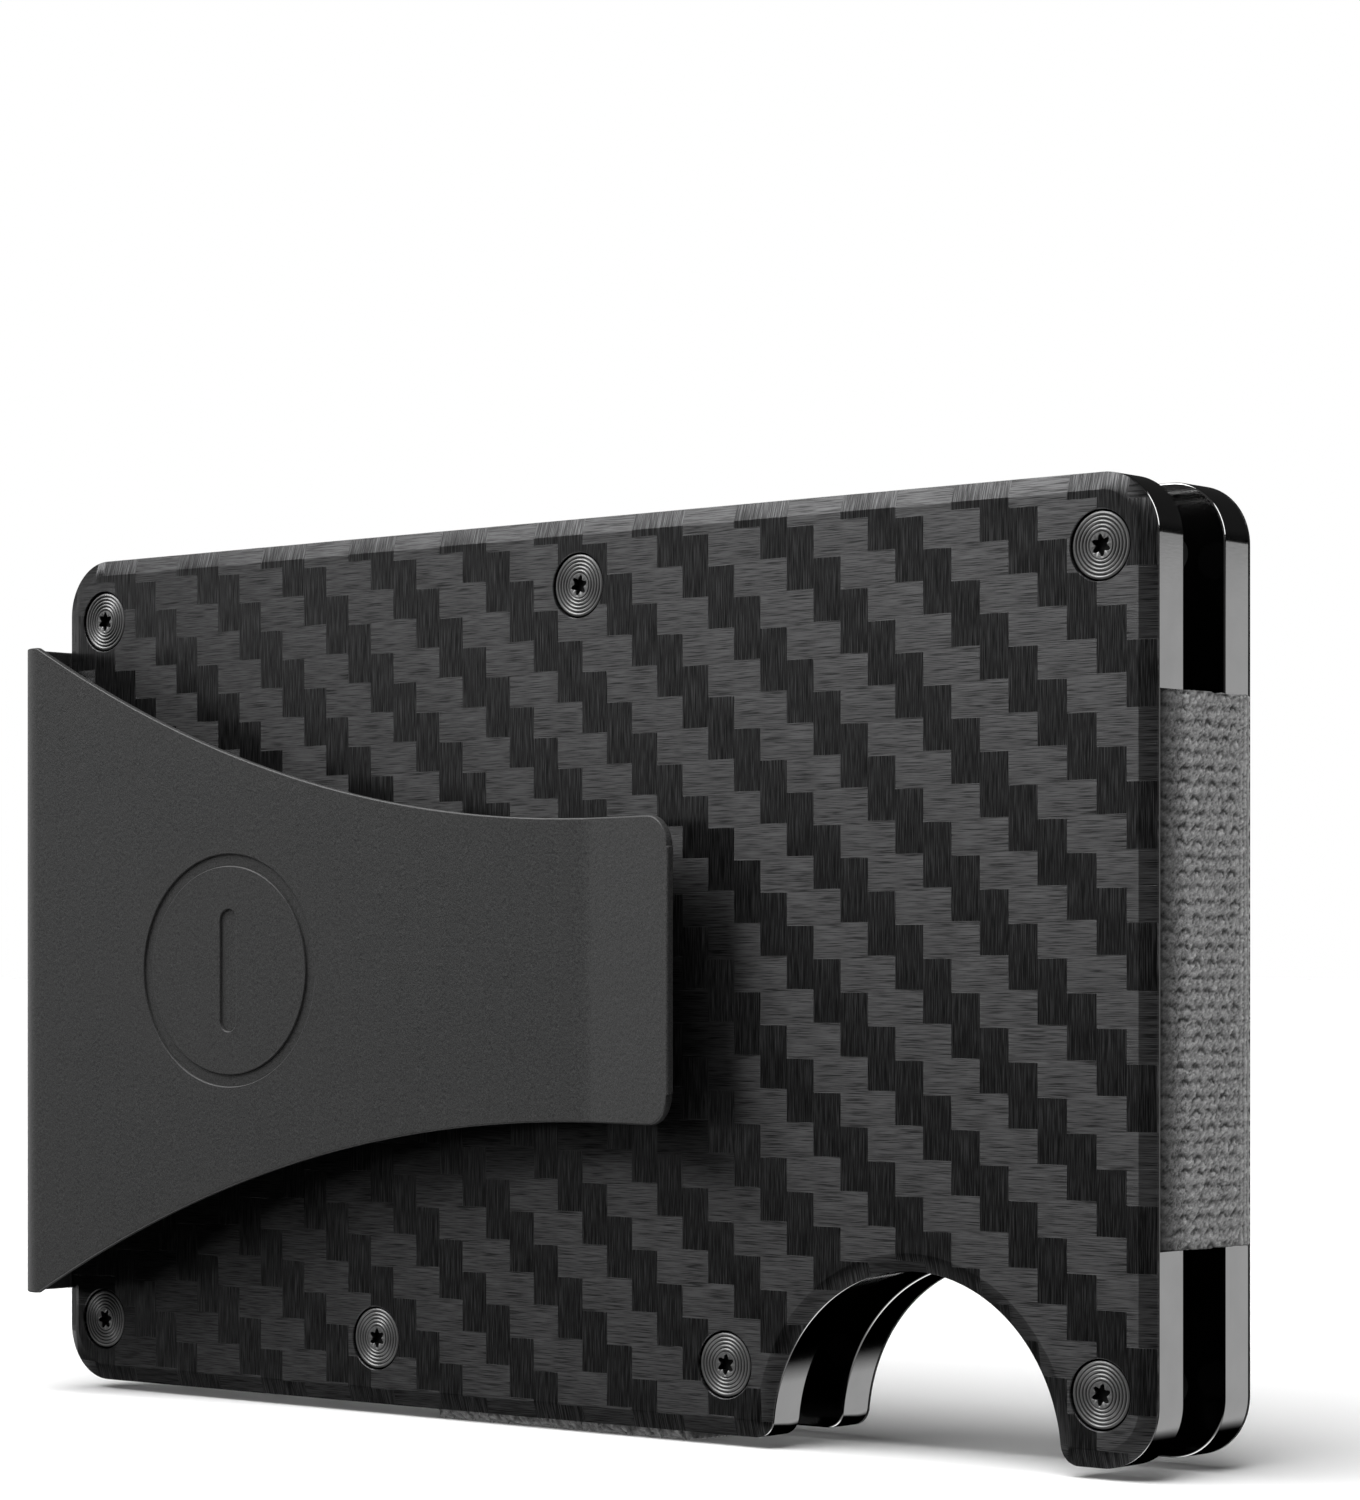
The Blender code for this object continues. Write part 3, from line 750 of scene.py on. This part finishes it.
def add_band(look):
    """The closed band: under both outer plates and round both short sides."""
    side_x, back_y = LENGTH / 2 - STRAP_THICK / 2, TOTAL_THICK - STRAP_Y
    edge_r, ramp_r = STRAP_BEND_R + STRAP_THICK / 2, 2
    bends = [
        ((side_x, STRAP_Y), edge_r),
        ((side_x, back_y), edge_r),
        ((-side_x, back_y), edge_r),
        ((-side_x, LOW_STRAP_Y), edge_r),
        ((TONGUE_END_X + 0.5, LOW_STRAP_Y), ramp_r),
        ((LOW_CHANNEL_END_X - 0.5, STRAP_Y), ramp_r),
    ]
    corners = [np.array(corner) for corner, _ in bends]
    path = []
    for i, (corner, radius) in enumerate(bends):
        after = corners[(i + 1) % len(bends)]
        path.append(bend(corners[i - 1], corner, after, radius, 7))
    path = np.concatenate(path + [path[0][:1]])

    def step(a, b):
        return FINE if min(abs(a[0]), abs(b[0])) > side_x - 0.7 else COARSE

    # The short sides stand out in a curve, steeper towards the back on the right-hand side, and
    # the other way round on the left. Dividing again gives the slopes points of their own.
    path = divided(path, step)
    way = np.sign(path[:, 0])
    share = way * np.clip(2 * (path[:, 1] - STRAP_Y) / (back_y - STRAP_Y) - 1, -1, 1)
    at_side = abs(path[:, 0]) > side_x - 0.6
    path[:, 0] += at_side * way * BULGE * np.where(share > 0, 1 - share**16, 1 - share**4)
    path = divided(path, step)[:-1]

    # Round a short side the knit is seen and ribbed near the back plate, with painted shade near
    # the front plate and in the folds
    shown = []
    for x, y in path:
        seen = float(abs(x) > side_x - 0.6)
        fold = min(y - STRAP_Y, back_y - y)
        ribbed = seen * float(np.clip(1.6 - (back_y - y) * 0.9, 0, 1))
        turned_in = min(edge_r, max(0, edge_r - fold)) / edge_r
        square = 0.2 * seen * math.sin(2 * math.asin(turned_in)) ** 2
        # Painted shade: darker towards the front plate and where the strap turns into a fold
        shade = float(np.clip(0.12 + 0.6 * (y - STRAP_Y), 0.12, 1))
        shown.append((seen, ribbed, square, shade * (1 - 0.4 * turned_in)))
    halves = np.full(len(path), (BAND_HIGH - BAND_LOW) / 2 + SNUG)
    middle = (BAND_LOW + BAND_HIGH) / 2
    rings, heights = strap_rings(path, halves, "Z", middle, shown, True, 7, BAND_HAIR)
    add_strap("side_elastic", rings, heights, True, look, "elastic_band")


def add_bottom_strap(look):
    """The strap under the bottom edge, up to a widened end in each inner plate's pocket."""
    back_y, bottom_z = TOTAL_THICK - STRAP_Y, BOTTOM_LOW[2] + STRAP_THICK / 2
    front, back, up = np.array([(STRAP_Y, bottom_z), (back_y, bottom_z), (0, 20)])
    levels = [BOTTOM_HIGH[2], SHOULDER_HIGH, SHOULDER_LOW]
    radius = STRAP_BEND_R + STRAP_THICK / 2
    path = [np.array([(STRAP_Y, z) for z in levels])]
    path += [bend(front + up, front, back, radius, 7), bend(front, back, back + up, radius, 7)]
    path.append(np.array([(back_y, z) for z in reversed(levels)]))
    seen_below = 0.9

    def step(a, b):
        return FINE if max(a[1], b[1]) < seen_below else COARSE

    path = divided(np.concatenate(path), step)
    # Painted shade: the strap under the wallet is half as light as the band
    shown = [(float(z < seen_below), 0.0, 0.0, 0.5) for _, z in path]
    halves = np.interp(path[:, 1], [SHOULDER_LOW, SHOULDER_HIGH], [LEG_WIDE / 2, BOTTOM_HIGH[0]])
    rings, heights = strap_rings(path, halves, "X", 0.0, shown, False, 11, BOTTOM_HAIR)
    add_strap("bottom_elastic", rings, heights, False, look, "elastic_bottom")


# Money clip


def tongue_sections(play=0.0):
    """Places along the tongue from its end, each with half the height there: two ears stand out."""
    ear_x, ear_z = next((x, z - MID_Z) for n, x, z in screw_places("front") if n == CLIP_SCREWS[0])
    body, ear = CLIP_TALL / 2 + play, EAR_R + play
    foot = ear + EAR_SLOPE
    outline = [(TONGUE_END_X + play, body), (ear_x + foot, body)]
    outline += [tuple(point) for point in arc((ear_x, ear_z), ear, 0, 180, 23)]
    return outline + [(ear_x - foot, body)]


def clip_path():
    """The clip's middle line from the tongue's end to the lip's end, with half-heights."""
    root_x = bend_centre((WEB_X, 0), ARM_CORNER, CONTACT, ARM_BEND_R)[0]
    tongue = tongue_sections()
    points = [np.array([(x, TONGUE_Y) for x, _ in tongue])]
    points.append(bend(points[0][-1], (WEB_X, TONGUE_Y), ARM_CORNER, TONGUE_BEND_R))
    points.append(bend((WEB_X, 0), ARM_CORNER, CONTACT, ARM_BEND_R, 24))
    to_tip = unit(np.subtract(LIP_END, CONTACT))
    points.append(bend(ARM_CORNER, CONTACT, LIP_END, CONTACT_BEND_R))
    points.append(np.array([np.array(LIP_END) - to_tip * LIP_CORNER_R]))
    fixed = len(tongue)
    rest = np.concatenate(points)[fixed - 1 :]
    rest = divided(rest, lambda a, b: 1.5)[1:]
    root, neck = CLIP_TALL / 2, NECK_TALL / 2
    on_arm = rest[:, 1] < -1
    share = np.clip((CONTACT[0] - rest[:, 0]) / (CONTACT[0] - root_x), 0, 1)
    tapered = neck + (root - neck) * share**TAPER_POWER
    halves = np.where(on_arm | (rest[:, 0] > WEB_X + 1), tapered, root)
    path = np.concatenate([points[0], rest])
    halves = np.concatenate([[half for _, half in tongue], halves])
    thin = np.zeros(len(path))

    # The lip's rounded corners, then its rounded end, where the sheet thins out
    turns = np.radians(np.linspace(0, 90, 13))[1:]
    corner = path[-1] + to_tip * (LIP_CORNER_R - SHEET_ROUND) * np.sin(turns)[:, None]
    corner_half = neck - LIP_CORNER_R * (1 - np.cos(turns))
    turns = np.radians(np.linspace(0, 90, 6))[1:]
    end = corner[-1] + to_tip * SHEET_ROUND * np.sin(turns)[:, None]
    end_half = np.full(len(end), corner_half[-1])
    path = np.concatenate([path, corner, end])
    halves = np.concatenate([halves, corner_half, end_half])
    thin = np.concatenate([thin, np.zeros(len(corner)), SHEET_ROUND * (1 - np.cos(turns))])
    return path, halves, thin


def clip_rings():
    """Rings round the clip's sheet, rounded along its edges."""
    path, halves, thin = clip_path()
    turns = np.radians(np.linspace(0, 90, 5))
    inwards = SHEET_ROUND * np.stack([1 - np.cos(turns), 1 - np.sin(turns)], 1)
    rings = []
    for point, side, half, less in zip(path, sides(path), halves, thin):
        out, up = CLIP_THICK / 2 - less, half - less
        corner = [(out - a, up - b) for a, b in inwards]
        flipped = corner[::-1]
        outline = corner + [(-o, u) for o, u in flipped]
        outline += [(-o, -u) for o, u in corner] + [(o, -u) for o, u in flipped]
        rings.append([(*(point + side * o), MID_Z + u) for o, u in outline])
    return np.array(rings)


def arm_frame():
    """The emblem's centre on the arm's front face, the way along the arm and the way out of it."""
    along = unit(np.subtract(CONTACT, ARM_CORNER))
    out = np.array([along[1], -along[0]])
    centre = np.array(ARM_CORNER) + along * EMBLEM_AT + out * CLIP_THICK / 2
    return centre, along, out


def on_arm(points):
    """Points given as along the arm, up and out of its front face."""
    centre, along, out = arm_frame()
    points = np.asarray(points, float)
    plane = centre + points[..., 0:1] * along + points[..., 2:3] * out
    return np.concatenate([plane, MID_Z + points[..., 1:2]], -1)


# A groove's side: how far out of the face each point is, and how much wider the groove is there
GROOVE = [(0.3, 0.04), (0.0, 0.0), (-0.03, -0.035), (-GROOVE_DEEP, -0.06)]


def ring_groove(steps=160):
    turns = np.linspace(0, 2 * math.pi, steps, endpoint=False)
    middle, half = EMBLEM_R - GROOVE_WIDE / 2, GROOVE_WIDE / 2
    profile = [(middle + half + wider, out) for out, wider in GROOVE]
    profile += [(middle - half - wider, out) for out, wider in reversed(GROOVE)]
    rings = [[(r * math.cos(t), r * math.sin(t), out) for r, out in profile] for t in turns]
    return loft("ring_groove", on_arm(rings), closed=True)


def bar_groove():
    """A rounded bar across the middle of the ring."""
    half_length, half_width = BAR_SIZE
    levels = []
    for out, wider in GROOVE:
        radius = half_width + wider
        top = arc((0, half_length), radius, 0, 180, 16)
        bottom = arc((0, -half_length), radius, 180, 360, 16)
        levels.append([(a, u, out) for a, u in np.concatenate([top, bottom])])
    return loft("bar_groove", on_arm(levels))


def add_clip(look):
    """One bent sheet, held under the outer plate."""
    clip = loft("money_clip", clip_rings())
    places = [place for place in screw_places("front") if place[0] in CLIP_SCREWS]
    holes = [screw_hole(f"hole_{n}", x, z, "front") for n, x, z in places]
    cut(clip, [ring_groove(), bar_groove()] + holes)
    weld(clip)
    smooth(clip)
    finish_piece(clip, look, ["clip_base", "clip_arm"])
    start, end = to_frame([(WEB_X, 0, MID_Z), (WEB_X, -1.2, MID_Z)])
    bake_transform(clip)
    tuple(start)
    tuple(end)


# Studio


FLOOR_REACH = 12.0


def add_floor():
    """A plain pale floor with a faint unevenness."""
    look = Look("pale_floor")
    place = look.add("TexCoord", {}, "Object")
    tone = look.math("MULTIPLY_ADD", look.noise(place, 6.0), 0.02, 0.86)
    look.shade(Base_Color=look.grey(tone), Roughness=0.9, Specular_IOR_Level=0.1)
    mesh = bpy.data.meshes.new("floor")
    corners = [(-1, -1), (1, -1), (1, 1), (-1, 1)]
    points = [(x * FLOOR_REACH, y * FLOOR_REACH, 0) for x, y in corners]
    mesh.from_pydata(points, [], [(0, 1, 2, 3)])
    mesh.materials.append(look.material)
    floor = bpy.data.objects.new("floor", mesh)
    bpy.context.scene.collection.objects.link(floor)
    floor.visible_diffuse = floor.visible_glossy = False
    floor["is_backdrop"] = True


# Where the surroundings shine: a level, and the edges round it. An edge gives an axis of the
# direction, the two places that it fades between, and the share that shines before and after
BACK_RIGHT = [("X", 0.15, 0.35, 0, 1), ("Y", 0.1, 0.5, 0, 1), ("Z", -0.55, -0.45, 0, 1)]
BACK_RIGHT.append(("Z", 0.1, 0.115, 1, 0))
FRONT_LEFT = [("X", -0.8, -0.62, 1, 0), ("Y", -0.35, -0.2, 1, 0), ("Z", -0.02, 0.04, 0, 1)]
FRONT_LEFT.append(("Z", 0.2, 0.35, 1, 0))
FAR_LEFT = [("X", -0.92, -0.82, 1, 0), ("Y", -0.4, -0.3, 0, 1), ("Y", 0.3, 0.7, 1, 0)]
FAR_LEFT += [("Z", -0.25, -0.15, 0, 1), ("Z", 0.08, 0.16, 1, 0)]
LOW_FRONT = [("X", -0.55, -0.4, 0, 1), ("Y", 0.4, 0.6, 1, 0), ("Z", -0.6, -0.45, 1, 0)]
GLOWS = [
    (1.08, BACK_RIGHT),
    (1.6, FRONT_LEFT),
    (1.3, FAR_LEFT),
    (0.6, LOW_FRONT),
    (0.08, [("Y", -0.1, 0.15, 1, 0), ("Z", -0.02, 0.1, 0, 1)]),  # the front
    (0.03, [("Z", 0.1, 0.3, 0, 1)]),  # the sky
    (3.0, [("Z", -0.95, -0.82, 1, 0)]),  # straight below
]


def joined(tree, operation, first, second):
    """The output of a Math node; first may be a number."""
    node = tree.nodes.new("ShaderNodeMath")
    node.operation = operation
    if isinstance(first, bpy.types.NodeSocket):
        tree.links.new(first, node.inputs[0])
    else:
        node.inputs[0].default_value = first
    tree.links.new(second, node.inputs[1])
    return node.outputs[0]


def add_world():
    """White as a backdrop; as light, dark apart from GLOWS."""
    world = bpy.data.worlds.new("studio")
    bpy.context.scene.world = world
    world.use_nodes = True
    nodes, links = world.node_tree.nodes, world.node_tree.links
    direction = nodes.new("ShaderNodeTexCoord")
    parts = nodes.new("ShaderNodeSeparateXYZ")
    links.new(direction.outputs["Generated"], parts.inputs[0])
    total = 0.0
    for level, edges in GLOWS:
        glow = level
        for axis, *limits in edges:
            edge = nodes.new("ShaderNodeMapRange")
            links.new(parts.outputs[axis], edge.inputs[0])
            for place, value in enumerate(limits, 1):
                edge.inputs[place].default_value = value
            glow = joined(world.node_tree, "MULTIPLY", glow, edge.outputs[0])
        total = joined(world.node_tree, "ADD", total, glow)
    seen = nodes.new("ShaderNodeLightPath")
    mix = nodes.new("ShaderNodeMix")
    links.new(seen.outputs["Is Camera Ray"], mix.inputs[0])
    links.new(total, mix.inputs[2])
    mix.inputs[3].default_value = 1.0
    background = nodes["Background"]
    background.inputs["Color"].default_value = (1, 1, 1, 1)
    links.new(mix.outputs[0], background.inputs["Strength"])


def aimed(made, at, target):
    """Puts an object into the scene, pointed at a target."""
    made.location = Vector(at)
    made.rotation_mode = "QUATERNION"
    made.rotation_quaternion = (Vector(target) - Vector(at)).to_track_quat("-Z", "Y")
    bpy.context.scene.collection.objects.link(made)
    return made


SKY_FROM, SKY_ENERGY, SKY_ANGLE = (-0.08, -0.45, 0.89), 4.2, 62
# Area lights: name, watts, width and height, place and target in metres. A softbox lights rough
# surfaces only, and a sheen shows in glossy ones only
AREA_LIGHTS = [
    ("top_softbox", 0.8, (0.5, 0.25), (0.0, -0.08, 0.6), (0, 0, 0.02)),
    ("side_softbox", 0.15, (0.3, 0.3), (0.5, 0.16, 0.12), (0.04, 0, 0.03)),
    ("front_sheen", 3.7, (0.3, 0.35), (-0.24, -0.22, 0.42), (0.02, 0, 0.03)),
    ("back_sheen", 2.4, (0.4, 0.4), (0.4, 0.08, 0.35), (0.02, 0, 0.03)),
]


def add_lights():
    sun = bpy.data.lights.new("key_sky", "SUN")
    sun.energy = SKY_ENERGY
    sun.angle = math.radians(SKY_ANGLE)
    sky = aimed(bpy.data.objects.new("key_sky", sun), SKY_FROM, (0, 0, 0))
    sky.visible_glossy = False
    for name, watts, size, at, target in AREA_LIGHTS:
        light = bpy.data.lights.new(name, "AREA")
        light.shape = "RECTANGLE"
        light.size, light.size_y = size
        light.energy = watts
        panel = aimed(bpy.data.objects.new(name, light), at, target)
        if name.endswith("softbox"):
            panel.visible_glossy = False
        else:
            panel.visible_diffuse = False


CAMERA_AT = (169.06, -191.23, 26.93)  # design millimetres
CAMERA_YAW = -39.763  # degrees from +Y towards -X
CAMERA_LENS, CAMERA_SHIFT = 101.975, 0.1476


def add_camera():
    data = bpy.data.cameras.new("camera")
    data.lens, data.sensor_width = CAMERA_LENS, 36
    data.shift_y = CAMERA_SHIFT
    data.clip_start, data.clip_end = 0.01, 100
    at = Vector(to_frame([CAMERA_AT])[0])
    yaw = math.radians(CAMERA_YAW)
    camera = bpy.data.objects.new("camera", data)
    aimed(camera, at, at + Vector((math.sin(yaw), math.cos(yaw), 0)))
    bpy.context.scene.camera = camera


def main():
    carbon, inner, steel = carbon_look(), inner_look(), screw_look()
    for side, notch_x in (("front", NOTCH_X), ("back", -NOTCH_X)):
        add_outer_plate(side, notch_x, carbon)
        add_inner_plate(side, notch_x, inner)
        add_screws(side, steel)
    elastic = elastic_look()
    add_band(elastic)
    add_bottom_strap(elastic)
    add_clip(clip_look())
    add_floor()
    add_world()
    add_lights()
    add_camera()
    bpy.context.scene.view_settings.view_transform = "Standard"
    boxes = {"cad": CAD_BOX, "visual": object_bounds()}
    {name: [list(corner) for corner in box] for name, box in boxes.items()}


main()
